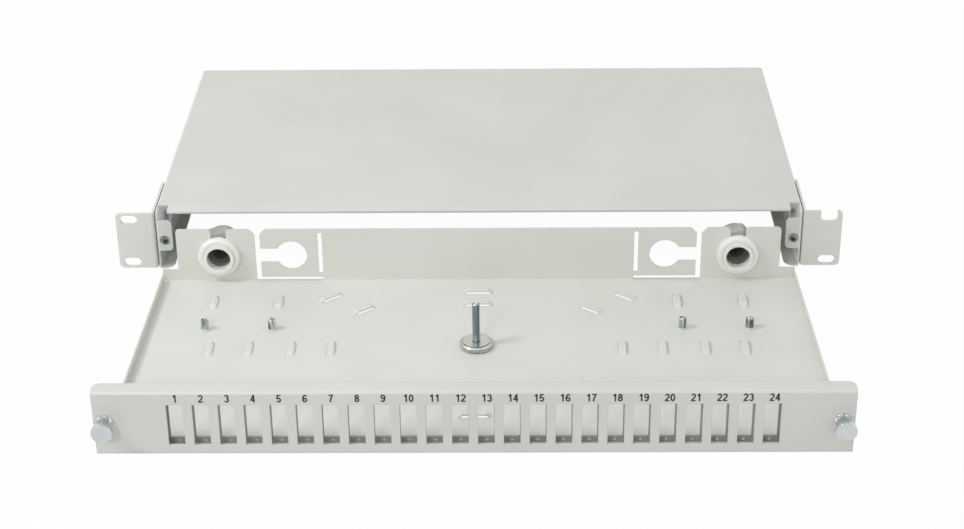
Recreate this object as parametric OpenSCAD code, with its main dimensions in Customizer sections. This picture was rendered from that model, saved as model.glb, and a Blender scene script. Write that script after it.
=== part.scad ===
// Pull-out fibre termination box for a 19 inch rack, one unit high.
// Origin: on the surface the box stands on, under the middle of its outline.
// +X right, +Y to the rear, +Z up. Distances along Y are worked out from the
// plane of the ears' front faces, then framed() moves everything to the origin.
// The drawer is drawn clear of the casing; it closes along +Y.

/* [Casing] */
// Width of the casing outside
case_w = 430; // [410:1:440]
// Height of the casing outside
case_h = 43.6; // [38:0.1:60]
// Distance from the ear plane to the front edge of the top plate
top_front = 10; // [6:0.5:20]
// Distance from the ear plane to the rear edge of the casing
case_rear = 240; // [228:1:400]
// Sheet thickness of the casing
case_t = 1.2; // [0.8:0.1:2]
// Distance from the ear plane to the front edge of the side walls
side_front = 1.5; // [1.2:0.1:4]
// Drop of the slanted lip and of the side walls in front of the top plate
lip_drop = 1.85; // [1:0.05:3]
// Height lost by the side walls along their front bevel
bevel_drop = 2.8; // [1:0.1:5]
// Distance from the ear plane to the tip of the slanted lip
lip_tip = 2.8; // [2:0.1:6]
// Gap between each end of the lip and the side wall outside
lip_inset = 7.8; // [4:0.1:20]
// Width of each bottom flange, measured from the outside
flange_w = 9.7; // [6:0.1:20]
// Corner radius of the bottom flanges at the front
flange_r = 8; // [2:0.5:9]
// Outside radius of the casing folds
fold_r = 1.9; // [1.3:0.1:4]

/* [Fixing tabs] */
// Width of each tab, measured from the outside of the casing
tab_w = 10.3; // [9.6:0.1:16]
// Lower edge of the tabs
tab_bottom = 13.5; // [10:0.5:16]
// Upper edge of the tabs
tab_top = 36; // [28:0.5:38]
// Corner radius of the tabs
tab_r = 3; // [1:0.5:4]
// Outside diameter of the threaded inserts where they show
insert_d = 6.6; // [6:0.1:8]
// Outside diameter of the insert bodies behind the tabs
insert_body_d = 8; // [7:0.1:9]
// Depth of the threaded inserts behind the tabs
insert_depth = 4; // [2:0.5:8]

/* [Ears] */
// How far each ear stands out beyond the casing
ear_w = 26.3; // [20:0.1:40]
// Height of the casing above and below the ears, together
ear_drop = 3; // [0:0.1:6]
// Sheet thickness of the ears
ear_t = 1.5; // [1:0.1:2.5]
// Length of the leg that lies along the casing
ear_leg = 47.5; // [30:0.5:80]
// Corner radius of the ears
ear_r = 3; // [1:0.5:6]
// Distance from the side of the casing to the middle of the rack slots
slot_set = 17.55; // [12:0.05:20]
// Vertical distance between the rack slots
slot_pitch = 31.75; // [25:0.05:34]
// Length of a rack slot
slot_l = 11.2; // [8:0.1:14]
// Height of a rack slot
slot_h = 6.1; // [5:0.1:8]
// Gap between each ear's leg and the side wall, kept by pads round its screws
leg_gap = 0.6; // [0.1:0.1:0.9]
// Thread diameter of the ear screws
ear_screw_d = 4; // [3:0.5:5]
// Distance from the ear plane to the first ear screw
ear_screw_y = 15; // [12:0.5:20]
// Distance between the two screws of an ear
ear_screw_pitch = 20; // [12:0.5:24]

/* [Drawer] */
// Distance the drawer is drawn out, from its closed place
draw_out = 213.6; // [150:0.1:220]
// Length of the tray from its rear wall to the adapter plate
tray_l = 194.1; // [150:0.1:300]
// Sheet thickness of the tray
tray_t = 1; // [0.8:0.1:1.5]
// Gap between the tray and the casing's bottom flanges
run_gap = 0.3; // [0.1:0.1:1]
// Side gap between the tray's front end and the casing walls
side_gap = 0.5; // [0.3:0.1:2]
// How much narrower each side of the tray is at its rear end
tray_taper = 4.3; // [0:0.1:6]
// Height of the tray's side walls above its floor
tray_side_h = 6; // [4:0.5:8]
// Height of the wide foot of the rear wall above the floor
wall_foot_h = 8; // [5:0.5:9]
// Gap between the rear wall and the underside of the slanted lip
wall_gap = 0.25; // [0.2:0.05:1]
// How much the upper part of the rear wall is set in from each side of the tray
wall_inset = 10.5; // [8.5:0.1:20]

/* [Front panel] */
// How much lower the front panel is than the casing
panel_drop = 1.4; // [1.3:0.1:4]
// Sheet thickness of the front panel
panel_t = 1.5; // [1:0.1:2]
// Depth of the front panel's flanges
panel_d = 10; // [8:0.5:16]
// Corner radius of the flanges
panel_r = 4.5; // [1:0.5:6]
// Outside radius of the panel folds
panel_fold_r = 2; // [1.6:0.1:4]
// Number of adapter openings
port_n = 24; // [4:1:24]
// Distance between adapter openings
port_pitch = 14.75; // [12:0.05:16]
// Width of an adapter opening
port_w = 9.5; // [6:0.1:11]
// Lower edge of the adapter openings in the panel
port_bottom = 6.6; // [5:0.1:10]
// Upper edge of the adapter openings in the panel
port_top = 33.6; // [25:0.1:35]

/* [Adapter plate] */
// Distance from the panel's face to the adapter plate
plate_set = 8.8; // [6:0.1:12]
// Sheet thickness of the adapter plate
plate_t = 1.2; // [0.8:0.1:1.5]
// How much narrower the plate's cut-outs are than the panel's openings
cut_in = 0; // [0:0.1:0.6]
// How far left of the panel's openings the cut-outs sit
cut_shift = 0.3; // [0:0.05:0.4]
// Height of the adapter cut-outs
cut_h = 26.2; // [20:0.1:28]
// Lower edge of the adapter cut-outs
cut_bottom = 6.2; // [5:0.05:8]
// Width of the plate's lugs in the tray floor
lug_w = 8; // [4:0.5:12]
// Side gap between the plate and the fixing tabs
plate_gap = 0.9; // [0.3:0.1:3]
// Diameter of the adapter screw holes
adapter_hole_d = 1.8; // [1:0.1:2]
// Distance from a cut-out to the centre of its screw holes
adapter_hole_set = 2.3; // [1.3:0.05:2.4]

/* [Cable glands] */
// Distance from the end of the rear wall's upper part to each gland axis
gland_inset = 28; // [20:0.5:40]
// Height of the gland axes
gland_z = 21; // [19:0.5:24]
// Thread diameter of the glands
gland_d = 20.2; // [12:0.1:22]
// Clearance of the gland holes on the diameter
gland_clear = 0.3; // [0.1:0.1:1]
// Wall of the gland bodies
gland_wall = 2.25; // [1.2:0.05:4]
// Radial width of the locknuts
locknut_w = 3.5; // [2:0.1:5]
// Thickness of the locknuts
locknut_t = 4.5; // [3:0.1:6]
// Radial width of the hexagons of gland bodies and dome nuts, at the flats
hex_w = 1.9; // [1.5:0.1:4]
// Wall of the rubber seals
seal_wall = 2.35; // [1:0.05:4]
// Width of the slots above the gland holes
gland_slot_w = 10; // [4:0.5:12]

/* [Knock-outs] */
// Distance from each gland axis to the keyhole knock-out beside it
knock_set = 47.5; // [44:0.5:60]
// Diameter of the keyholes
key_d = 20.4; // [12:0.1:22]
// Height of the neck between keyhole and slit
key_neck = 10; // [4:0.5:12]
// Bevels at the top of the knock-outs' outer slits
key_bevel = 4; // [1:0.1:5]
// Width of the slits
slit_w = 2.7; // [1:0.1:4]

/* [Studs and spindle] */
// Thread diameter of the cassette studs
stud_d = 5; // [3:0.5:6]
// Height of the cassette studs above the floor
stud_h = 7.7; // [5:0.1:15]
// Distance between the inner studs
stud_inner = 260; // [200:1:280]
// Distance from each inner stud to the outer one beside it
stud_step = 42.4; // [20:0.1:50]
// Distance from the rear wall to the studs
stud_set = 65.3; // [50:0.1:100]
// Diameter of the centre spindle
spindle_d = 4.8; // [3:0.1:6]
// Height of the centre spindle above the floor
spindle_h = 30.8; // [20:0.1:36]
// Distance from the rear wall to the spindle
spindle_set = 86.7; // [76:0.1:110]
// Diameter of the knurled clamp nut
clamp_d = 20.6; // [14:0.1:26]
// Thickness of the clamp nut
clamp_t = 4; // [3:0.1:8]
// Gap below the clamp nut
clamp_gap = 0.3; // [0.2:0.1:1]
// Radial clearance of the clamp nut on the spindle
clamp_clear = 0.08; // [0.02:0.01:0.2]

/* [Tie bridges] */
// Length of a tie bridge
tie_l = 17; // [10:0.5:22]
// Width of a tie bridge
tie_w = 4; // [2:0.5:6]
// Rise of a tie bridge
tie_rise = 2; // [1:0.1:4]
// Width of the slits beside a tie bridge
tie_slit = 0.2; // [0.1:0.1:1.5]

/* [Thumbscrews] */
// Distance from the side of the casing to each thumbscrew axis
thumb_set = 5; // [4.8:0.1:6]
// Height of the thumbscrew axes
thumb_z = 21.4; // [18:0.1:26]
// Diameter of the shank
thumb_d = 4; // [3:0.1:4.4]
// Clearance of the shank in insert and panel, on the diameter
thumb_clear = 0.5; // [0.2:0.1:1]
// Diameter of the front disc
disc_d = 12.2; // [10:0.1:14]
// Thickness of the front disc
disc_t = 2.5; // [1.5:0.1:4]
// Diameter of the ridged barrel
barrel_d = 10; // [7:0.1:12]
// Length of the whole head
head_l = 11; // [6:0.1:16]
// Free axial travel of the thumbscrews
thumb_travel = 6; // [2:0.5:6.5]
// Length of thread that enters the insert
thumb_reach = 3.2; // [1:0.1:5]

/* [Hidden] */
$fn = 72;
eps = 0.01;
powder = [0.80, 0.80, 0.77];
zinc = [0.72, 0.74, 0.76];
plastic = [0.90, 0.90, 0.87];

// casing
half_w = case_w / 2;
in_w = half_w - case_t;
lip_half = half_w - lip_inset;
// the slanted lip's underside at its tip
lip_under = case_h - lip_drop - case_t;
// ears
ear_half = half_w + ear_w;
slot_span = case_w + 2 * slot_set;
ear_h = case_h - ear_drop;
ear_mid = case_h / 2;
ear_bottom = ear_mid - ear_h / 2;
leg_in = half_w + leg_gap;
leg_x = leg_in + ear_t;
// closed place of the drawer: the panel's flanges stop short of the side walls
close_gap = 0.5;
face_y = side_front - close_gap - panel_d - draw_out;
back_y = face_y + panel_t;
plate_y = face_y + plate_set;
wall_y = plate_y + tray_l;
floor_z = case_t + run_gap;
floor_top = floor_z + tray_t;
wall_top = lip_under - wall_gap;
front_half = in_w - side_gap;
rear_half = front_half - tray_taper;
plate_half = half_w - tab_w - plate_gap;
lug_x = plate_half - lug_w;
panel_w = case_w + 2 * ear_t;
panel_h = case_h - panel_drop;
flange_under = panel_h - panel_t;
wall_w = 2 * (rear_half - wall_inset);
// glands
gland_span = wall_w - 2 * gland_inset;
gland_bore = gland_d - 2 * gland_wall;
locknut_d = gland_d + 2 * locknut_w;
gland_af = gland_d + 2 * hex_w;
seal_bore = gland_bore - 2 * seal_wall;
knock_span = gland_span - 2 * knock_set;
hex_l = 6;
dome_l = 22;
tube_front = wall_y - locknut_t - 1.5;
hex_rear = wall_y + tray_t + hex_l;
thread_rear = hex_rear + 10;
// thumbscrews
thumb_span = case_w - 2 * thumb_set;
shank_end = back_y + (side_front - (back_y + draw_out)) + thumb_reach;
retainer_y = back_y + thumb_travel + 0.2;
thumb_bore = thumb_d + thumb_clear;

// distance from the ear plane to the origin, the middle of the whole outline
frame_y = -(case_rear + face_y - head_l) / 2;

// moves a node from the ear plane to the origin
module framed() {
    translate([0, frame_y, 0]) children();
}

// a plate in the XZ plane, t thick from y to the rear
module upright(y, t) {
    translate([0, y + t, 0]) rotate([90, 0, 0]) linear_extrude(t) children();
}

// a profile drawn in the YZ plane, run along X from -h to h
module across(h) {
    translate([-h, 0, 0])
        rotate([90, 0, 90]) linear_extrude(2 * h) children();
}

// a cylinder along +Y from y0 to y1
module yrod(x, y0, y1, z, d) {
    translate([x, y1, z]) rotate([90, 0, 0]) cylinder(d = d, h = y1 - y0);
}

// quarter ring for a sheet fold, centre at c, opening towards the signs sx, sz
module fold2d(c, r, t, sx, sz) {
    translate(c) intersection() {
        difference() {
            circle(r);
            circle(r - t);
        }
        translate([sx > 0 ? 0 : -r, sz > 0 ? 0 : -r]) square(r);
    }
}

// rounded slot, drawn about its centre
module slot2d(l, h) {
    union() {
        square([l - h, h], center = true);
        translate([(l - h) / 2, 0]) circle(d = h);
        translate([-(l - h) / 2, 0]) circle(d = h);
    }
}

// rectangle from [x0, z0] to [x1, z1] with the radius r at chosen corners
module round_rect(x0, z0, x1, z1, r, bl, br, tr, tl) {
    difference() {
        translate([x0, z0]) square([x1 - x0, z1 - z0]);
        if (bl) corner_cut([x0, z0], r, 1, 1);
        if (br) corner_cut([x1, z0], r, -1, 1);
        if (tr) corner_cut([x1, z1], r, -1, -1);
        if (tl) corner_cut([x0, z1], r, 1, -1);
    }
}

module corner_cut(p, r, sx, sz) {
    translate(p) difference() {
        translate([sx > 0 ? -1 : -r, sz > 0 ? -1 : -r]) square(r + 1);
        translate([sx * r, sz * r]) circle(r);
    }
}

// ---- casing ----

// folded section of the casing, right half and mirrored left half
module casing_section() {
    translate([-half_w + fold_r, case_h - case_t])
        square([case_w - 2 * fold_r, case_t]);
    for (s = [-1, 1]) {
        fold2d([s * (half_w - fold_r), case_h - fold_r], fold_r, case_t, s, 1);
        fold2d([s * (half_w - fold_r), fold_r], fold_r, case_t, s, -1);
        translate([s > 0 ? in_w : -half_w, fold_r])
            square([case_t, case_h - 2 * fold_r]);
        translate([s > 0 ? half_w - flange_w : -half_w + fold_r, 0])
            square([flange_w - fold_r, case_t]);
    }
}

module casing() {
    color(powder) framed() union() {
        difference() {
            upright(side_front, case_rear - side_front) casing_section();
            // front cut above the bevel of the side walls
            across(half_w + 1) polygon([
                [side_front - 1, case_h - bevel_drop - 0.1],
                [side_front, case_h - bevel_drop],
                [top_front, case_h], [top_front, case_h + 1],
                [side_front - 1, case_h + 1]]);
            // the top plate starts behind the ear plane
            translate([-in_w, side_front - 1, case_h - 4])
                cube([2 * in_w, top_front - side_front + 1, 5]);
            // rounded front ends of the bottom flanges
            for (s = [-1, 1])
                translate([s * (half_w - flange_w), side_front, -1])
                    linear_extrude(case_t + 2)
                        corner_cut([0, 0], flange_r - 0.3, s, 1);
        }
        // slanted lip in front of the top plate
        across(lip_half) polygon([
            [top_front + 1, case_h], [top_front, case_h],
            [lip_tip, case_h - lip_drop],
            [lip_tip, case_h - lip_drop - case_t],
            [top_front, case_h - case_t], [top_front + 1, case_h - case_t]]);
        // fixing tabs folded inwards from the side walls
        for (s = [-1, 1])
            upright(side_front, case_t) difference() {
                round_rect(s > 0 ? half_w - tab_w : -half_w + case_t / 2, tab_bottom,
                    s > 0 ? half_w - case_t / 2 : -half_w + tab_w, tab_top,
                    tab_r, s > 0, s < 0, s < 0, s > 0);
                translate([s * thumb_span / 2, thumb_z]) circle(d = insert_d);
            }
    }
}

module tab_insert(s) {
    color(zinc) framed() difference() {
        union() {
            yrod(s * thumb_span / 2, side_front - 0.2, side_front + case_t,
                thumb_z, insert_d);
            yrod(s * thumb_span / 2, side_front + case_t,
                side_front + case_t + insert_depth, thumb_z,
                min(insert_body_d, 2 * (in_w - thumb_span / 2)));
        }
        yrod(s * thumb_span / 2, side_front - 1,
            side_front + case_t + insert_depth + 1, thumb_z, thumb_bore);
    }
}

module tab_insert_left() { tab_insert(-1); }
module tab_insert_right() { tab_insert(1); }

// ---- ears ----

// plan of the folded ear, right-hand side
module ear_plan() {
    translate([leg_in + 2, 0]) square([ear_half - leg_in - 2, ear_t]);
    translate([leg_in, 2]) square([ear_t, ear_leg - 2]);
    translate([leg_in + 2, 2]) intersection() {
        difference() {
            circle(2);
            circle(2 - ear_t);
        }
        translate([-2, -2]) square(2);
    }
}

// outline of the ear plate seen from the front, right-hand side
module ear_face(open_top) {
    difference() {
        round_rect(half_w - 1, ear_bottom, ear_half, ear_bottom + ear_h, ear_r,
            false, true, true, false);
        for (k = [-1, 1])
            translate([slot_span / 2, ear_mid + k * slot_pitch / 2])
                slot2d(slot_l, slot_h);
        if (open_top)
            translate([(slot_span - slot_l) / 2, ear_mid + slot_pitch / 2])
                square([slot_l, ear_h]);
    }
}

module ear(open_top) {
    color(powder) framed() difference() {
        union() {
            intersection() {
                translate([0, 0, ear_bottom]) linear_extrude(ear_h) ear_plan();
                upright(-1, ear_leg + 2) ear_face(open_top);
            }
            for (k = [0, 1])
                translate([half_w, ear_screw_y + k * ear_screw_pitch, ear_mid])
                    rotate([0, 90, 0]) cylinder(d = 2.5 * ear_screw_d, h = leg_gap + 0.5);
        }
        for (k = [0, 1])
            translate([half_w - 1, ear_screw_y + k * ear_screw_pitch, ear_mid])
                rotate([0, 90, 0])
                    cylinder(d = ear_screw_d + 0.4, h = leg_gap + ear_t + 2);
    }
}

module ear_left() { mirror([1, 0, 0]) ear(false); }
module ear_right() { ear(true); }

module ear_screws() {
    color(zinc) framed() for (k = [0, 1])
        translate([leg_x, ear_screw_y + k * ear_screw_pitch, ear_mid])
            rotate([0, 90, 0]) difference() {
                union() {
                    cylinder(d = 2 * ear_screw_d, h = 1.4);
                    translate([0, 0, 1.4])
                        cylinder(d1 = 2 * ear_screw_d, d2 = 1.4 * ear_screw_d, h = 0.8);
                    translate([0, 0, -ear_t - leg_gap])
                        cylinder(d = ear_screw_d, h = ear_t + leg_gap + 1);
                }
                for (a = [0, 90])
                    translate([0, 0, 1.9]) rotate([0, 0, a])
                        cube([0.9, 3.6, 2], center = true);
            }
}

module ear_screws_right() { ear_screws(); }
module ear_screws_left() { mirror([1, 0, 0]) ear_screws(); }

// pressed-in nuts inside the side walls
module ear_nuts() {
    color(zinc) framed() for (k = [0, 1])
        translate([in_w, ear_screw_y + k * ear_screw_pitch, ear_mid])
            rotate([0, -90, 0]) cylinder(d = 2 * ear_screw_d, h = 2.2);
}

module ear_nuts_right() { ear_nuts(); }
module ear_nuts_left() { mirror([1, 0, 0]) ear_nuts(); }

// ---- tray ----

// floor outline: narrower at the rear, straight past the adapter plate
module floor2d() {
    y0 = face_y + panel_fold_r;
    polygon([[-front_half, y0], [front_half, y0],
        [front_half, plate_y], [rear_half, wall_y + tray_t],
        [-rear_half, wall_y + tray_t], [-front_half, plate_y]]);
}

// rear wall seen from the front
module wall2d() {
    difference() {
        union() {
            translate([-rear_half, floor_z])
                square([2 * rear_half, wall_foot_h + tray_t]);
            round_rect(-wall_w / 2, floor_z, wall_w / 2, wall_top, 2.5,
                false, false, true, true);
        }
        for (s = [-1, 1]) {
            // gland hole with its slot
            translate([s * gland_span / 2, gland_z]) circle(d = gland_d + gland_clear);
            translate([s * gland_span / 2 - gland_slot_w / 2, gland_z])
                square([gland_slot_w, wall_top]);
            for (k = [-1, 1])
                translate([s * gland_span / 2 + k * gland_slot_w / 2, wall_top])
                    rotate(45) square(2.4, center = true);
            mirror([s > 0 ? 0 : 1, 0]) knockout2d();
        }
    }
}

// keyhole knock-out and the slits around its tab, right-hand side
module knockout2d() {
    kx = knock_span / 2;
    outer = kx + key_d;
    inner = kx - key_d;
    translate([kx, gland_z]) circle(d = key_d);
    translate([kx, gland_z - key_neck / 2])
        square([outer - kx + eps, key_neck]);
    // outer slit, open at the top
    translate([outer, floor_top + 0.1]) square([slit_w + 0.6, wall_top]);
    for (x = [outer, outer + slit_w + 0.6])
        translate([x, wall_top]) rotate(45) square(key_bevel * sqrt(2), center = true);
    // bottom slit
    translate([inner, floor_top + 0.1])
        square([outer - inner + 1, slit_w - 0.5]);
    // inner slit, left with bridges above and below
    translate([inner, floor_top + slit_w + 2.4])
        square([slit_w, wall_top - floor_top - slit_w - 5.2]);
}

// one tie bridge along +X from the origin, on the floor's upper side
module tie_cut(l) {
    translate([0, -tie_w / 2 - tie_slit, floor_z - 1])
        cube([l, tie_w + 2 * tie_slit, tray_t + 2]);
}

module tie_strip(l) {
    translate([0, tie_w / 2, floor_z]) rotate([90, 0, 0])
        linear_extrude(tie_w) polygon([[-0.5, 0], [0, 0], [3, tie_rise],
            [l - 3, tie_rise], [l, 0], [l + 0.5, 0], [l + 0.5, tray_t],
            [l, tray_t], [l - 3, tie_rise + tray_t],
            [3, tie_rise + tray_t], [0, tray_t], [-0.5, tray_t]]);
}

// tie bridges: x and distance of the middle from the rear wall, angle, length
ties = concat(
    [for (s = [-1, 1], x = [129.4, 172]) [s * x, 30.3, 90, tie_l]],
    [for (s = [-1, 1], x = [91, 116, 142.6, 167.4]) [s * x, 89.3, 90, tie_l]],
    [for (s = [-1, 1]) [s * 95.8, 24.5, -s * 38, tie_l]],
    [for (s = [-1, 1]) [s * 73.4, 41.3, -s * 38, tie_l]],
    [for (d = [17.8, 34, 166.3]) [0, d, 0, tie_l + 3]]);

module at_tie(t) {
    translate([t[0], wall_y - t[1], 0]) rotate([0, 0, t[2]])
        translate([-t[3] / 2, 0, 0]) children();
}

module tray() {
    color(powder) framed() union() {
        difference() {
            translate([0, 0, floor_z]) linear_extrude(tray_t) floor2d();
            for (t = ties) at_tie(t) tie_cut(t[3]);
            // slots for the adapter plate's lugs
            for (s = [-1, 1])
                translate([s * lug_x - lug_w / 2 - 0.1, plate_y - 0.1, floor_z - 1])
                    cube([lug_w + 0.2, plate_t + 0.2, tray_t + 2]);
            // relief in the rear corners
            for (s = [-1, 1])
                translate([s * (rear_half + 0.5), wall_y - 1, floor_z - 1])
                    cylinder(d = 4, h = tray_t + 2);
        }
        for (t = ties) at_tie(t) tie_strip(t[3]);
        difference() {
            upright(wall_y, tray_t) wall2d();
            for (s = [-1, 1])
                translate([s * (rear_half + 0.5), wall_y - 1, floor_z - 1])
                    cylinder(d = 4, h = tray_t + 2);
        }
        // low side walls
        for (s = [-1, 1])
            translate([0, 0, floor_z]) linear_extrude(tray_t + tray_side_h)
                polygon([[s * front_half, plate_y],
                    [s * (rear_half + 2.6 * tray_taper / tray_l), wall_y - 2.6],
                    [s * (rear_half - tray_t + 2.6 * tray_taper / tray_l), wall_y - 2.6],
                    [s * (front_half - tray_t), plate_y]]);
    }
}

// ---- front panel and adapter plate ----

port_x = [for (i = [0 : port_n - 1]) (i - (port_n - 1) / 2) * port_pitch];

module panel_profile() {
    r = panel_fold_r;
    translate([face_y, r]) square([panel_t, panel_h - 2 * r]);
    fold2d([face_y + r, panel_h - r], r, panel_t, -1, 1);
    fold2d([face_y + r, r], r, panel_t, -1, -1);
    translate([face_y + r, panel_h - panel_t]) square([panel_d - r, panel_t]);
    translate([face_y + r, 0]) square([panel_d - r, panel_t]);
}

module front_panel() {
    color(powder) framed() difference() {
        across(panel_w / 2) panel_profile();
        for (s = [-1, 1]) {
            translate([0, 0, -1]) linear_extrude(panel_h + 2)
                corner_cut([s * panel_w / 2, face_y + panel_d], panel_r, -s, -1);
            yrod(s * thumb_span / 2, face_y - 1, back_y + 1, thumb_z, thumb_bore);
        }
        for (x = port_x)
            translate([x - port_w / 2, face_y - 1, port_bottom])
                cube([port_w, panel_t + 2, port_top - port_bottom]);
    }
}

module adapter_plate() {
    color(powder) framed() upright(plate_y, plate_t) difference() {
        union() {
            translate([-plate_half, floor_top])
                square([2 * plate_half, flange_under - floor_top]);
            // lugs that pass through the tray floor onto the panel's flange
            for (s = [-1, 1])
                translate([s * lug_x - lug_w / 2, floor_z])
                    square([lug_w, tray_t + 1]);
        }
        for (x = port_x) {
            translate([x - cut_shift - port_w / 2 + cut_in / 2, cut_bottom])
                square([port_w - cut_in, cut_h]);
            translate([x, cut_bottom - adapter_hole_set]) circle(d = adapter_hole_d);
            translate([x, cut_bottom + cut_h + adapter_hole_set])
                circle(d = adapter_hole_d);
        }
    }
}

// ---- studs, spindle and clamp nut ----

module cassette_studs() {
    color(zinc) framed() for (s = [-1, 1], x = [stud_inner, stud_inner + 2 * stud_step])
        translate([s * x / 2, wall_y - stud_set, floor_top]) {
            cylinder(d = stud_d + 1.6, h = 0.7);
            cylinder(d = stud_d, h = stud_h - 0.5);
            translate([0, 0, stud_h - 0.5])
                cylinder(d1 = stud_d, d2 = stud_d - 1, h = 0.5);
        }
}

module centre_spindle() {
    // the neck just above the resting nut parts the free upper length
    neck = clamp_gap + clamp_t + 0.2;
    color(zinc) framed() translate([0, wall_y - spindle_set, floor_top])
        rotate_extrude() polygon([[0, 0], [spindle_d / 2, 0],
            [spindle_d / 2, neck], [spindle_d / 2 - 0.3, neck],
            [spindle_d / 2 - 0.3, neck + 0.5], [spindle_d / 2, neck + 0.5],
            [spindle_d / 2, spindle_h - 0.5], [spindle_d / 2 - 0.5, spindle_h],
            [0, spindle_h]]);
}

module clamp_nut() {
    n = 60;
    color(zinc) framed() translate([0, wall_y - spindle_set, floor_top + clamp_gap])
        difference() {
            rotate_extrude() difference() {
                polygon([[0, 0], [clamp_d / 2 - 0.7, 0], [clamp_d / 2, 0.7],
                    [clamp_d / 2, clamp_t - 1.2], [clamp_d / 2 - 0.9, clamp_t - 0.4],
                    [clamp_d / 2 - 1.3, clamp_t - 0.4],
                    [clamp_d / 2 - 1.3, clamp_t - 0.9],
                    [clamp_d / 2 - 1.8, clamp_t - 0.9],
                    [clamp_d / 2 - 1.8, clamp_t], [0, clamp_t]]);
                square([spindle_d / 2 + clamp_clear, 3 * clamp_t], center = false);
            }
            for (i = [0 : n - 1])
                rotate([0, 0, i * 360 / n]) translate([clamp_d / 2 + 0.1, 0, -1])
                    rotate([0, 0, 45])
                        translate([-0.35, -0.35, 0]) cube([0.7, 0.7, clamp_t + 2]);
        }
}

// ---- glands ----

module hexbar(x, y0, y1, af) {
    translate([x, y1, gland_z]) rotate([90, 0, 0]) rotate([0, 0, 12])
        cylinder(d = af / cos(30), h = y1 - y0, $fn = 6);
}

module gland_body(s) {
    x = s * gland_span / 2;
    color(plastic) framed() difference() {
        union() {
            yrod(x, tube_front, thread_rear, gland_z, gland_d);
            intersection() {
                hexbar(x, wall_y + tray_t, hex_rear, gland_af);
                yrod(x, wall_y + tray_t, hex_rear, gland_z, gland_af * 1.12);
            }
        }
        yrod(x, tube_front - 1, thread_rear + 1, gland_z, gland_bore);
    }
}

module gland_locknut(s) {
    x = s * gland_span / 2;
    color(plastic) framed() translate([x, wall_y, gland_z]) rotate([90, 0, 0])
        rotate_extrude() polygon([[gland_d / 2, 0], [locknut_d / 2, 0],
            [locknut_d / 2, locknut_t - 1], [locknut_d / 2 - 1, locknut_t],
            [gland_d / 2 + 0.6, locknut_t], [gland_d / 2, locknut_t - 0.6]]);
}

module gland_seal(s) {
    x = s * gland_span / 2;
    color([0.2, 0.2, 0.2]) framed() difference() {
        yrod(x, hex_rear - 2, thread_rear - 1, gland_z, gland_bore);
        yrod(x, hex_rear - 3, thread_rear, gland_z, seal_bore);
    }
}

module dome_nut(s) {
    x = s * gland_span / 2;
    g = 0.3;
    y0 = hex_rear + g;
    y1 = hex_rear + dome_l;
    color(plastic) framed() difference() {
        union() {
            intersection() {
                hexbar(x, y0, y0 + 11, gland_af);
                yrod(x, y0, y0 + 11, gland_z, gland_af * 1.12);
            }
            translate([x, y0 + 11, gland_z]) rotate([-90, 0, 0])
                rotate_extrude() difference() {
                    polygon([[0, 0], [gland_af / 2 - 0.6, 0], [gland_af / 2 - 1, 4],
                        [gland_af / 2 - 3, 8], [gland_af / 2 - 5, y1 - y0 - 11],
                        [0, y1 - y0 - 11]]);
                    square([1, 1]);
                }
        }
        yrod(x, y0 - 1, thread_rear + g, gland_z, gland_d + 2 * g);
        yrod(x, y0 - 1, y1 + 1, gland_z, seal_bore + 2);
    }
}

module gland_body_left() { gland_body(-1); }
module gland_body_right() { gland_body(1); }
module gland_locknut_left() { gland_locknut(-1); }
module gland_locknut_right() { gland_locknut(1); }
module gland_seal_left() { gland_seal(-1); }
module gland_seal_right() { gland_seal(1); }
module dome_nut_left() { dome_nut(-1); }
module dome_nut_right() { dome_nut(1); }

// ---- thumbscrews ----

module thumb_retainer(s) {
    x = s * thumb_span / 2;
    color(zinc) framed() difference() {
        yrod(x, retainer_y, retainer_y + 0.8, thumb_z, thumb_d + 3);
        yrod(x, retainer_y - 1, retainer_y + 2, thumb_z, thumb_d - 0.6);
    }
}

module thumbscrew(s) {
    x = s * thumb_span / 2;
    n = 28;
    groove = 1;
    color(zinc) framed() union() {
        yrod(x, face_y - head_l, face_y - head_l + disc_t, thumb_z, disc_d);
        yrod(x, face_y - head_l + disc_t, face_y - head_l + disc_t + groove,
            thumb_z, barrel_d - 2);
        difference() {
            yrod(x, face_y - head_l + disc_t + groove, face_y - 0.8, thumb_z, barrel_d);
            for (i = [0 : n - 1])
                translate([x, face_y, thumb_z]) rotate([90, 0, 0])
                    rotate([0, 0, i * 360 / n]) translate([barrel_d / 2 + 0.1, 0, 0])
                        rotate([0, 0, 45]) translate([-0.35, -0.35, -1])
                            cube([0.7, 0.7, head_l + 2 - disc_t - groove]);
        }
        yrod(x, face_y - 0.8, face_y - 0.1, thumb_z, barrel_d + 1.2);
        // shank with a neck for the retaining ring
        yrod(x, face_y - 0.2, retainer_y - 0.1, thumb_z, thumb_d);
        yrod(x, retainer_y - 0.2, retainer_y + 1, thumb_z, thumb_d - 0.8);
        yrod(x, retainer_y + 0.9, shank_end - 0.5, thumb_z, thumb_d);
        translate([x, shank_end - 0.5, thumb_z]) rotate([-90, 0, 0])
            cylinder(d1 = thumb_d, d2 = thumb_d - 1, h = 0.5);
    }
}

module thumb_retainer_left() { thumb_retainer(-1); }
module thumb_retainer_right() { thumb_retainer(1); }
module thumbscrew_left() { thumbscrew(-1); }
module thumbscrew_right() { thumbscrew(1); }

casing();
ear_left();
ear_right();
ear_screws_left();
ear_screws_right();
ear_nuts_left();
ear_nuts_right();
tab_insert_left();
tab_insert_right();
tray();
adapter_plate();
front_panel();
cassette_studs();
centre_spindle();
gland_body_left();
gland_body_right();
gland_locknut_left();
gland_locknut_right();
gland_seal_left();
gland_seal_right();
dome_nut_left();
dome_nut_right();
thumb_retainer_left();
thumb_retainer_right();
thumbscrew_left();
thumbscrew_right();
clamp_nut();
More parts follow.
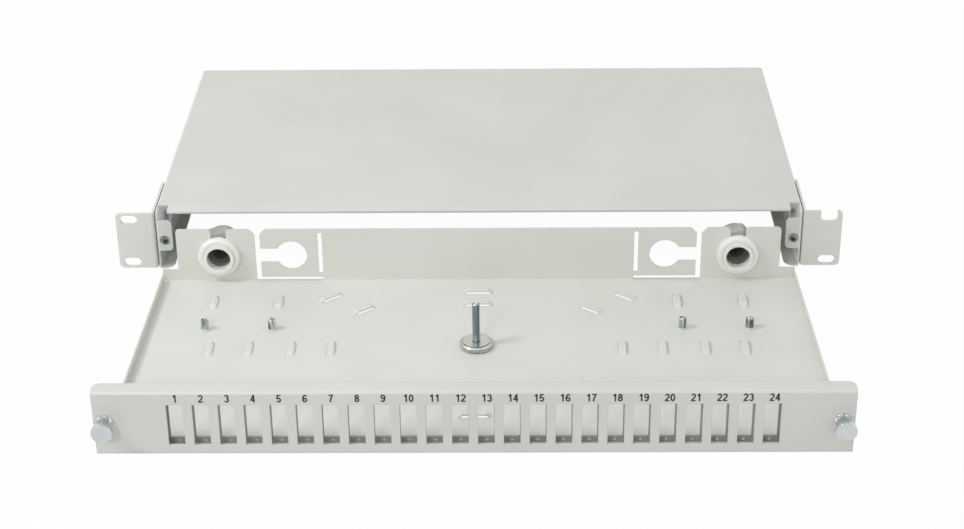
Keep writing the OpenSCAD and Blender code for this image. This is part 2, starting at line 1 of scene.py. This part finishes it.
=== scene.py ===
"""Looks of a pull-out fibre termination box: powder-coated sheet steel, zinc-plated
screws and studs, polyamide cable glands and a printed port scale, on a white table."""
import bpy
import numpy as np
from mathutils import Matrix, Quaternion, Vector


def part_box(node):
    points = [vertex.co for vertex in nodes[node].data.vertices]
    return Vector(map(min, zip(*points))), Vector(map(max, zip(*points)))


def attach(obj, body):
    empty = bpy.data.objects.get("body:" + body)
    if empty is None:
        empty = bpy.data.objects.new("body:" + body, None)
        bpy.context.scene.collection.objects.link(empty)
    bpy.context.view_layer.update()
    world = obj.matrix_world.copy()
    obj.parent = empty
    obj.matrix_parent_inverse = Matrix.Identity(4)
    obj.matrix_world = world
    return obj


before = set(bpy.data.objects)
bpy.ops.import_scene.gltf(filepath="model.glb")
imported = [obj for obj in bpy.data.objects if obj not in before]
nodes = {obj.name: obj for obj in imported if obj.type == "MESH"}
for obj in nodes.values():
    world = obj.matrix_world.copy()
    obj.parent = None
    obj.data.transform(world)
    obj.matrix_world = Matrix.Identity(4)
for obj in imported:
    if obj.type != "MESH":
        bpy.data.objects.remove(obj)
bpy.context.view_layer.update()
MM = 0.001
# distances in mm: from bump to bump of the powder coat's orange peel, the radius of
# its build-up on cut edges, and how near a face has to be to count as an inside one
PEEL_SPACING, COAT_EDGE, NEAR = 1.7, 0.45, 0.2


# ---------------------------------------------------------------- materials

def from_hex(code):
    """sRGB hex code to linear RGBA: c / 12.92 below 0.04045, else ((c + 0.055) / 1.055) ^ 2.4."""
    c = np.array([int(code[i:i + 2], 16) for i in (1, 3, 5)]) / 255.0
    lin = np.where(c <= 0.04045, c / 12.92, ((c + 0.055) / 1.055) ** 2.4)
    return (*map(float, lin), 1.0)


def add(tree, kind, settings=None, links=None):
    """Adds one shader node, sets its properties and sockets, and links its inputs."""
    n = tree.nodes.new(kind)
    for key, value in (settings or {}).items():
        if isinstance(key, int) or key in n.inputs:
            n.inputs[key].default_value = value
        else:
            setattr(n, key, value)
    for key, source in (links or {}).items():
        tree.links.new(source, n.inputs[key])
    return n


def material(name):
    """An empty node material with its output node."""
    m = bpy.data.materials.new(name)
    m.use_nodes = True
    m.node_tree.nodes.clear()
    return m, m.node_tree, add(m.node_tree, "ShaderNodeOutputMaterial")


def surface(tree, out, settings, links):
    """A principled surface wired to the output."""
    p = add(tree, "ShaderNodeBsdfPrincipled", settings, links)
    tree.links.new(p.outputs["BSDF"], out.inputs["Surface"])
    return p


def shades(tree, coord, scale_mm, codes, detail=3.0, stretch=(1, 1, 1)):
    """Two close shades mixed by a soft noise whose clouds are scale_mm across."""
    m = add(tree, "ShaderNodeMapping", {"Scale": stretch}, {"Vector": coord})
    n = add(tree, "ShaderNodeTexNoise", {"Scale": 1000.0 / scale_mm, "Detail": detail},
            {"Vector": m.outputs["Vector"]})
    r = add(tree, "ShaderNodeMapRange", {"From Min": 0.35, "From Max": 0.65},
            {"Value": n.outputs["Fac"]})
    x = add(tree, "ShaderNodeMix", {"data_type": "RGBA"}, {"Factor": r.outputs["Result"]})
    x.inputs[6].default_value = from_hex(codes[0])
    x.inputs[7].default_value = from_hex(codes[1])
    return x.outputs[2]


def powder_coat(name, codes, gloss, peel_mm, inside=None):
    """Light-grey polyester powder coat baked on sheet steel: satin, with the fine
    orange peel that the melted powder leaves, 1 to 2 mm from bump to bump, and a
    rounded build-up on every cut edge. gloss is the range of roughness and peel_mm
    the height of the bumps. With inside, (half width in mm, shades), the faces at
    that distance from the middle get a cooler, paler colour: painted light that
    brightens the inside walls, which lie in shade."""
    m, t, out = material(name)
    coord = add(t, "ShaderNodeTexCoord").outputs["Object"]
    colour = shades(t, coord, 60.0, codes)
    peel = add(t, "ShaderNodeTexNoise",
               {"Scale": 1000.0 / PEEL_SPACING, "Detail": 2.0, "Roughness": 0.5}, {"Vector": coord})
    edge = add(t, "ShaderNodeBevel", {"samples": 4, "Radius": COAT_EDGE * MM})
    bump = add(t, "ShaderNodeBump", {"Strength": 0.4, "Distance": peel_mm * MM},
               {"Height": peel.outputs["Fac"], "Normal": edge.outputs["Normal"]})
    rough = add(t, "ShaderNodeMapRange", {"To Min": gloss[0], "To Max": gloss[1]},
                {"Value": peel.outputs["Fac"]})
    if inside:
        x = add(t, "ShaderNodeSeparateXYZ", {}, {0: coord}).outputs["X"]
        far = add(t, "ShaderNodeMath", {"operation": "ABSOLUTE"}, {0: x}).outputs[0]
        at = add(t, "ShaderNodeMath", {"operation": "COMPARE", 1: inside[0] * MM, 2: NEAR * MM},
                 {0: far}).outputs[0]
        # painted light: the inside faces get this paler, cooler colour to brighten their shade
        bare_or_painted_light = shades(t, coord, 25.0, inside[1])
        mix = add(t, "ShaderNodeMix", {"data_type": "RGBA"}, {"Factor": at})
        t.links.new(colour, mix.inputs[6])
        t.links.new(bare_or_painted_light, mix.inputs[7])
        colour = mix.outputs[2]
    surface(t, out, {"IOR": 1.5}, {"Base Color": colour, "Roughness": rough.outputs["Result"],
                                   "Normal": bump.outputs["Normal"]})
    return m


def zinc_plate(name, stretch, rough, codes, band=4.0, thread=0.0, painted=0.0):
    """Bright blue-passivated zinc on turned steel: a cool silver with faint
    yellow and blue clouds and fine tool marks that run along the turning; where the
    two shades are far apart, the clouds are stretched into dark and light streaks
    that are painted reflections. band is the clouds' size in mm. With thread, a pitch
    in mm, screw-thread ridges run round Z, and what lies under the height painted,
    in mm, has the sheet's coat."""
    m, t, out = material(name)
    coord = add(t, "ShaderNodeTexCoord").outputs["Object"]
    marks = add(t, "ShaderNodeMapping", {"Scale": stretch}, {"Vector": coord})
    fine = add(t, "ShaderNodeTexNoise", {"Scale": 1000.0 / 0.9, "Detail": 3.0},
               {"Vector": marks.outputs["Vector"]})
    colour = shades(t, coord, band, codes, 3.0, stretch)
    rmap = add(t, "ShaderNodeMapRange", {"To Min": rough - 0.08, "To Max": rough + 0.10},
               {"Value": fine.outputs["Fac"]})
    edge = add(t, "ShaderNodeBevel", {"samples": 4, "Radius": 0.2 * MM})
    bump = add(t, "ShaderNodeBump", {"Strength": 0.2, "Distance": 0.02 * MM},
               {"Height": fine.outputs["Fac"], "Normal": edge.outputs["Normal"]})
    if thread:
        z = add(t, "ShaderNodeSeparateXYZ", {}, {0: coord}).outputs["Z"]
        turn = add(t, "ShaderNodeMath",
                   {"operation": "MULTIPLY", 1: 2 * np.pi / (thread * MM)}, {0: z})
        wave = add(t, "ShaderNodeMath", {"operation": "SINE"}, {0: turn.outputs[0]})
        bump = add(t, "ShaderNodeBump", {"Strength": 1.0, "Distance": 0.06 * MM},
                   {"Height": wave.outputs[0], "Normal": bump.outputs["Normal"]})
    links = {"Base Color": colour, "Roughness": rmap.outputs["Result"],
             "Normal": bump.outputs["Normal"]}
    if painted:
        bare_or_painted_light = add(t, "ShaderNodeMath",
                   {"operation": "GREATER_THAN", 1: painted * MM}, {0: z})
        mix = add(t, "ShaderNodeMix", {"data_type": "RGBA", 6: from_hex("#DEDED8")},
                  {"Factor": bare_or_painted_light.outputs[0]})
        t.links.new(colour, mix.inputs[7])
        links.update({"Base Color": mix.outputs[2], "Metallic": bare_or_painted_light.outputs[0]})
    surface(t, out, {} if painted else {"Metallic": 1.0}, links)
    return m


def polyamide(name="moulded_polyamide", codes=("#F0F0EB", "#ECECE6"), behind=()):
    """Light-grey moulded polyamide: slightly translucent-looking off-white, satin
    from the mould's eroded finish, about 0.8 mm grain. Each pair in behind,
    (y in mm, shades), gives what lies further back a darker colour, painted shade."""
    m, t, out = material(name)
    coord = add(t, "ShaderNodeTexCoord").outputs["Object"]
    colour = shades(t, coord, 12.0, codes)
    for place, other in behind:
        y = add(t, "ShaderNodeSeparateXYZ", {}, {0: coord}).outputs["Y"]
        # painted shade: what lies behind this y gets a darker colour
        at = add(t, "ShaderNodeMath", {"operation": "GREATER_THAN", 1: place * MM}, {0: y})
        grey = shades(t, coord, 12.0, other)
        mix = add(t, "ShaderNodeMix", {"data_type": "RGBA"}, {"Factor": at.outputs[0]})
        t.links.new(colour, mix.inputs[6])
        t.links.new(grey, mix.inputs[7])
        colour = mix.outputs[2]
    grain = add(t, "ShaderNodeTexNoise", {"Scale": 1000.0 / 0.8, "Detail": 2.0}, {"Vector": coord})
    edge = add(t, "ShaderNodeBevel", {"samples": 4, "Radius": 0.3 * MM})
    bump = add(t, "ShaderNodeBump", {"Strength": 0.1, "Distance": 0.04 * MM},
               {"Height": grain.outputs["Fac"], "Normal": edge.outputs["Normal"]})
    rough = add(t, "ShaderNodeMapRange", {"To Min": 0.36, "To Max": 0.48},
                {"Value": grain.outputs["Fac"]})
    surface(t, out, {"IOR": 1.53, "Subsurface Weight": 0.08, "Subsurface Scale": 0.002},
            {"Base Color": colour, "Roughness": rough.outputs["Result"],
             "Normal": bump.outputs["Normal"]})
    return m


def seal_rubber():
    """Moulded chloroprene rubber: dark grey, dull, with a faint bloom."""
    m, t, out = material("chloroprene_rubber")
    coord = add(t, "ShaderNodeTexCoord").outputs["Object"]
    colour = shades(t, coord, 3.0, ("#5E5E58", "#6C6B65"))
    surface(t, out, {"Roughness": 0.75, "IOR": 1.5}, {"Base Color": colour})
    return m


def scale_ink():
    """Two-part screen ink, near-black and matt, a little uneven where it is thin."""
    m, t, out = material("screen_printed_ink")
    coord = add(t, "ShaderNodeTexCoord").outputs["Object"]
    colour = shades(t, coord, 1.5, ("#272828", "#313232"))
    surface(t, out, {"Roughness": 0.6, "IOR": 1.5}, {"Base Color": colour})
    return m


# the rear wall's front face, the casing's sheet and its inside half width, in mm
wall_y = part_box("gland_locknut_left")[1][1] / MM
SHEET = 1.2
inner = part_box("casing")[1][0] / MM - SHEET
LIGHT_GREY = ("#D9D9D4", "#D5D5CF")
POWDER = powder_coat("powder_coat_panel", LIGHT_GREY, (0.2, 0.3), 0.06)
# the tray and ears get a paler copy of the same light-grey coat: painted light
TRAY = powder_coat("powder_coat_tray_and_ears_painted_light", ("#E0E0DB", "#DCDCD6"), (0.36, 0.48), 0.04)
# the casing's inside faces get a paler, cooler copy of the coat: painted light that brightens their
# shade
CASE = powder_coat("powder_coat_casing", LIGHT_GREY, (0.26, 0.34), 0.03,
                   inside=(inner, ("#EEF4F6", "#E7EDF0")))
# a darker grey than the panel's coat: painted shade for the adapter plate, which sits in shadow
# behind the ports
PLATE = powder_coat("adapter_plate_painted_shade", ("#B6B6AF", "#AEAEA6"), (0.4, 0.5), 0.03)
ZINC_Y = zinc_plate("zinc_plated_turned_screws", (1, 0.15, 1), 0.24, ("#C4CCCE", "#D0D3D0"))
ZINC_Z = zinc_plate("zinc_plated_nut", (1, 1, 6), 0.28, ("#BFC3BF", "#C9C9BF"))
# a blue zinc tone with dark and light streaks along the spindle: painted reflections of the
# surround
SPINDLE = zinc_plate("blue_zinc_spindle_painted_reflections", (1, 1, 0.03), 0.22, ("#53676A", "#D3DDDE"), 2.0)
# the studs' foot, up to this height over the tray's underside, is painted with the tray
FOOT = 2.2
# a blue zinc tone with dark and light streaks along the studs: painted reflections of the surround
STUDS = zinc_plate("blue_zinc_threaded_studs_painted_reflections", (1, 1, 0.1), 0.24, ("#3F5558", "#DDE8E8"), 1.6,
                   0.8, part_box("tray")[0][2] / MM + FOOT)
INSERT = zinc_plate("blue_zinc_inserts", (1, 0.3, 1), 0.26, ("#60716F", "#93A09E"))
NYLON = polyamide()
# the dome nuts get a greyer copy of the polyamide: painted shade where they lie behind the rear
# wall
NUT = polyamide("moulded_polyamide_nut", ("#BCBDB8", "#B3B4AF"))
# painted shade on the gland body behind the wall's front face: a dark band where it shows in the
# wall's slot, then a greyer hexagon further back
GLAND = polyamide("moulded_polyamide_gland_painted_shade",
                  behind=((wall_y + 0.05, ("#6C6D69", "#757672")),
                          (wall_y + 1.25, ("#A2A39F", "#999A96"))))
RUBBER = seal_rubber()
INK = scale_ink()

finishes = {"casing": CASE, "ear_left": TRAY, "ear_right": TRAY, "tray": TRAY,
            "adapter_plate": PLATE, "ear_nuts_left": CASE, "ear_nuts_right": CASE,
            "ear_screws_left": CASE, "ear_screws_right": CASE, "front_panel": POWDER,
            "cassette_studs": STUDS, "centre_spindle": SPINDLE, "clamp_nut": ZINC_Z,
            "tab_insert_left": INSERT, "tab_insert_right": INSERT,
            "gland_body_left": GLAND, "gland_body_right": GLAND,
            "gland_seal_left": RUBBER, "gland_seal_right": RUBBER}
for name, obj in nodes.items():
    finish = finishes.get(name)
    if finish is None:
        finish = (NUT if name.startswith("dome") else
                  NYLON if name.startswith("gland") else ZINC_Y)
    obj.data.materials.clear()
    obj.data.materials.append(finish)


# ---------------------------------------------------------------- port numbers

# openings: how many, from middle to middle, and width of each
PORTS, PITCH, OPENING = 24, 14.75 * MM, 9.5 * MM
# where the print lies: the panel's front face, the ink's stand-off, the digits' foot
FACE_Y, INK_GAP, BASE_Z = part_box("front_panel")[0][1], 0.05 * MM, 35.4 * MM
# digits: height; pen width and step to the next digit in heights; the first digit's
# distance from the opening's left edge; and a single digit's shift, in steps
CAP, PEN, ADVANCE, START, SINGLE = 5.0 * MM, 0.18, 0.62, 2.3 * MM, 0.62


def arc(cx, cy, rx, ry, a0, a1):
    """Points of an ellipse arc between two angles in degrees, counter-clockwise positive."""
    a = np.radians(np.linspace(a0, a1, 2 + int(abs(a1 - a0) / 12)))
    return np.stack([cx + rx * np.cos(a), cy + ry * np.sin(a)], axis=1)


def strokes(digit):
    """The pen paths of one digit in a plain sans style, in units of its height."""
    six = [arc(0.275, 0.3, 0.19, 0.225, 0, 360), arc(0.3, 0.5, 0.215, 0.425, 196, 38)]
    return {
        "0": [arc(0.27, 0.5, 0.19, 0.425, 0, 360)],
        "1": [[(0.335, 1.0), (0.335, 0.0)], [(0.1, 0.745), (0.21, 0.8), (0.32, 0.95)]],
        "2": [np.vstack([arc(0.27, 0.705, 0.19, 0.22, 170, -28),
                         [(0.31, 0.4), (0.13, 0.2), (0.085, 0.075), (0.51, 0.075)]])],
        "3": [arc(0.26, 0.72, 0.175, 0.205, 162, -88), arc(0.265, 0.295, 0.195, 0.22, 92, -162)],
        "4": [[(0.385, 1.0), (0.385, 0.0)], [(0.375, 0.94), (0.075, 0.3), (0.54, 0.3)]],
        "5": [np.vstack([[(0.49, 0.925), (0.15, 0.925), (0.1, 0.5)],
                         arc(0.265, 0.31, 0.195, 0.235, 125, -160)])],
        "6": six,
        "7": [[(0.03, 0.925), (0.48, 0.925), (0.32, 0.6), (0.23, 0.3), (0.195, 0.0)]],
        "8": [arc(0.27, 0.735, 0.165, 0.19, 0, 360), arc(0.27, 0.29, 0.195, 0.215, 0, 360)],
        "9": [np.array([0.545, 1.0]) - p for p in six],
    }[digit]


def ribbon(path, wide):
    """Left and right edges of a pen stroke along a path."""
    p = np.asarray(path, float)
    d = np.diff(p, axis=0)
    d /= np.linalg.norm(d, axis=1)[:, None]
    closed = np.allclose(p[0], p[-1])
    before = np.vstack([d[-1] if closed else d[0], d])
    after = np.vstack([d, d[0] if closed else d[-1]])
    n = before + after
    n /= np.linalg.norm(n, axis=1)[:, None]
    grow = 1.0 / np.clip((n * before).sum(1), 0.6, 1.0)
    side = np.stack([-n[:, 1], n[:, 0]], axis=1) * (wide / 2 * grow)[:, None]
    return p + side, p - side


def port_numbers():
    """The numbers over the adapter openings, as one flat print on the panel's face."""
    verts, faces = [], []
    for i in range(PORTS):
        left = (i - (PORTS - 1) / 2) * PITCH - OPENING / 2 + START
        if i < 9:
            left += SINGLE * ADVANCE * CAP
        for k, digit in enumerate(str(i + 1)):
            for path in strokes(digit):
                a, b = ribbon(path, PEN)
                for q in range(len(a) - 1):
                    first = len(verts)
                    for u, v in (a[q], b[q], b[q + 1], a[q + 1]):
                        verts.append((left + (k * ADVANCE + u) * CAP, FACE_Y - INK_GAP,
                                      BASE_Z + v * CAP))
                    faces.append(tuple(range(first, first + 4)))
    mesh = bpy.data.meshes.new("port_numbers")
    mesh.from_pydata(verts, [], faces)
    mesh.materials.append(INK)
    obj = bpy.data.objects.new("port_numbers", mesh)
    bpy.context.scene.collection.objects.link(obj)
    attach(obj, "drawer")
    return obj


port_numbers()


# ---------------------------------------------------------------- table, lights, camera

# the share of white that the table shows, its half width, and its gap under the box
TABLE_GLOW, TABLE_HALF, TABLE_GAP = 0.97, 6.0, 0.2 * MM
# brightness of the surround where it only lights the scene
SURROUND = 0.58


def table():
    """A white table: the camera sees it almost self-bright, so only soft shadows show."""
    m, t, out = material("white_table")
    paper = add(t, "ShaderNodeBsdfDiffuse", {"Color": from_hex("#DADADA")})
    glow = add(t, "ShaderNodeEmission", {"Color": (1, 1, 1, 1), "Strength": 1.0})
    path = add(t, "ShaderNodeLightPath")
    seen = add(t, "ShaderNodeMath", {"operation": "MAXIMUM"},
               {0: path.outputs["Is Camera Ray"], 1: path.outputs["Is Glossy Ray"]})
    part = add(t, "ShaderNodeMath", {"operation": "MULTIPLY", 1: TABLE_GLOW},
               {0: seen.outputs[0]})
    mix = add(t, "ShaderNodeMixShader", {}, {0: part.outputs[0], 1: paper.outputs[0],
                                             2: glow.outputs[0]})
    t.links.new(mix.outputs[0], out.inputs["Surface"])
    r, z = TABLE_HALF, -TABLE_GAP
    mesh = bpy.data.meshes.new("table_top")
    mesh.from_pydata([(-r, -r, z), (r, -r, z), (r, r, z), (-r, r, z)], [], [(0, 1, 2, 3)])
    mesh.materials.append(m)
    obj = bpy.data.objects.new("table_top", mesh)
    bpy.context.scene.collection.objects.link(obj)


def soft_light(name, place, aim, size, watts, tall=None, roll=0.0):
    """A square softbox at place, facing aim; with tall, a strip turned by roll degrees."""
    lamp = bpy.data.lights.new(name, "AREA")
    lamp.shape = "RECTANGLE"
    lamp.size = size
    lamp.size_y = tall or size
    lamp.energy = watts
    obj = bpy.data.objects.new(name, lamp)
    obj.location = place
    turn = (Vector(aim) - Vector(place)).to_track_quat("-Z", "Y")
    obj.rotation_euler = (turn @ Quaternion((0, 0, 1), np.radians(roll))).to_euler()
    bpy.context.scene.collection.objects.link(obj)


def sky():
    """An even white surround: 1 where it is seen or mirrored, dimmer as a lamp."""
    world = bpy.data.worlds.new("studio")
    bpy.context.scene.world = world
    world.use_nodes = True
    t = world.node_tree
    t.nodes.clear()
    out = add(t, "ShaderNodeOutputWorld")
    path = add(t, "ShaderNodeLightPath")
    seen = add(t, "ShaderNodeMath", {"operation": "MAXIMUM"},
               {0: path.outputs["Is Camera Ray"], 1: path.outputs["Is Glossy Ray"]})
    seen = add(t, "ShaderNodeMath", {"operation": "MAXIMUM"},
               {0: seen.outputs[0], 1: path.outputs["Is Transmission Ray"]})
    level = add(t, "ShaderNodeMapRange", {"To Min": SURROUND, "To Max": 1.0},
                {"Value": seen.outputs[0]})
    back = add(t, "ShaderNodeBackground", {"Color": (1, 1, 1, 1)},
               {"Strength": level.outputs["Result"]})
    t.links.new(back.outputs[0], out.inputs["Surface"])


def camera():
    """A long lens looking down at the box; yaw and roll are small, angles in radians."""
    yaw, pitch, roll = -0.017, 0.497, -0.012
    fwd = np.array([np.sin(yaw) * np.cos(pitch), np.cos(yaw) * np.cos(pitch), -np.sin(pitch)])
    right = np.array([np.cos(yaw), -np.sin(yaw), 0.0])
    up = np.cross(right, fwd)
    r2 = right * np.cos(roll) + up * np.sin(roll)
    u2 = -right * np.sin(roll) + up * np.cos(roll)
    cam = bpy.data.cameras.new("camera")
    cam.sensor_width = 36.0
    cam.lens = 73.617
    obj = bpy.data.objects.new("camera", cam)
    m = np.eye(4)
    m[:3, 0], m[:3, 1], m[:3, 2] = r2, u2, -fwd
    m[:3, 3] = (0.02205, -1.1671, 0.6342)
    obj.matrix_world = Matrix(m.tolist())
    bpy.context.scene.collection.objects.link(obj)
    bpy.context.scene.camera = obj


table()
sky()
soft_light("key_softbox", (-0.9, -0.42, 1.0), (0, -0.05, 0), 0.3, 5.8)
soft_light("front_softbox", (-0.6, -1.9, 1.15), (0, 0, 0), 0.35, 7)
soft_light("top_softbox", (0.0, -0.3, 1.2), (0, -0.1, 0), 0.7, 0.7)
soft_light("fill_softbox", (1.5, -0.5, 1.3), (0, -0.1, 0), 1.0, 2.4)
soft_light("low_softbox", (0.6, -1.4, 0.2), (0.1, 0.05, 0.03), 0.4, 0.7)
soft_light("rear_strip", (0.317, 1.6, 0.737), (0.16, 0.1, 0.04), 0.04, 0.035, 0.26, -34)
camera()
bpy.context.scene.view_settings.view_transform = "Standard"
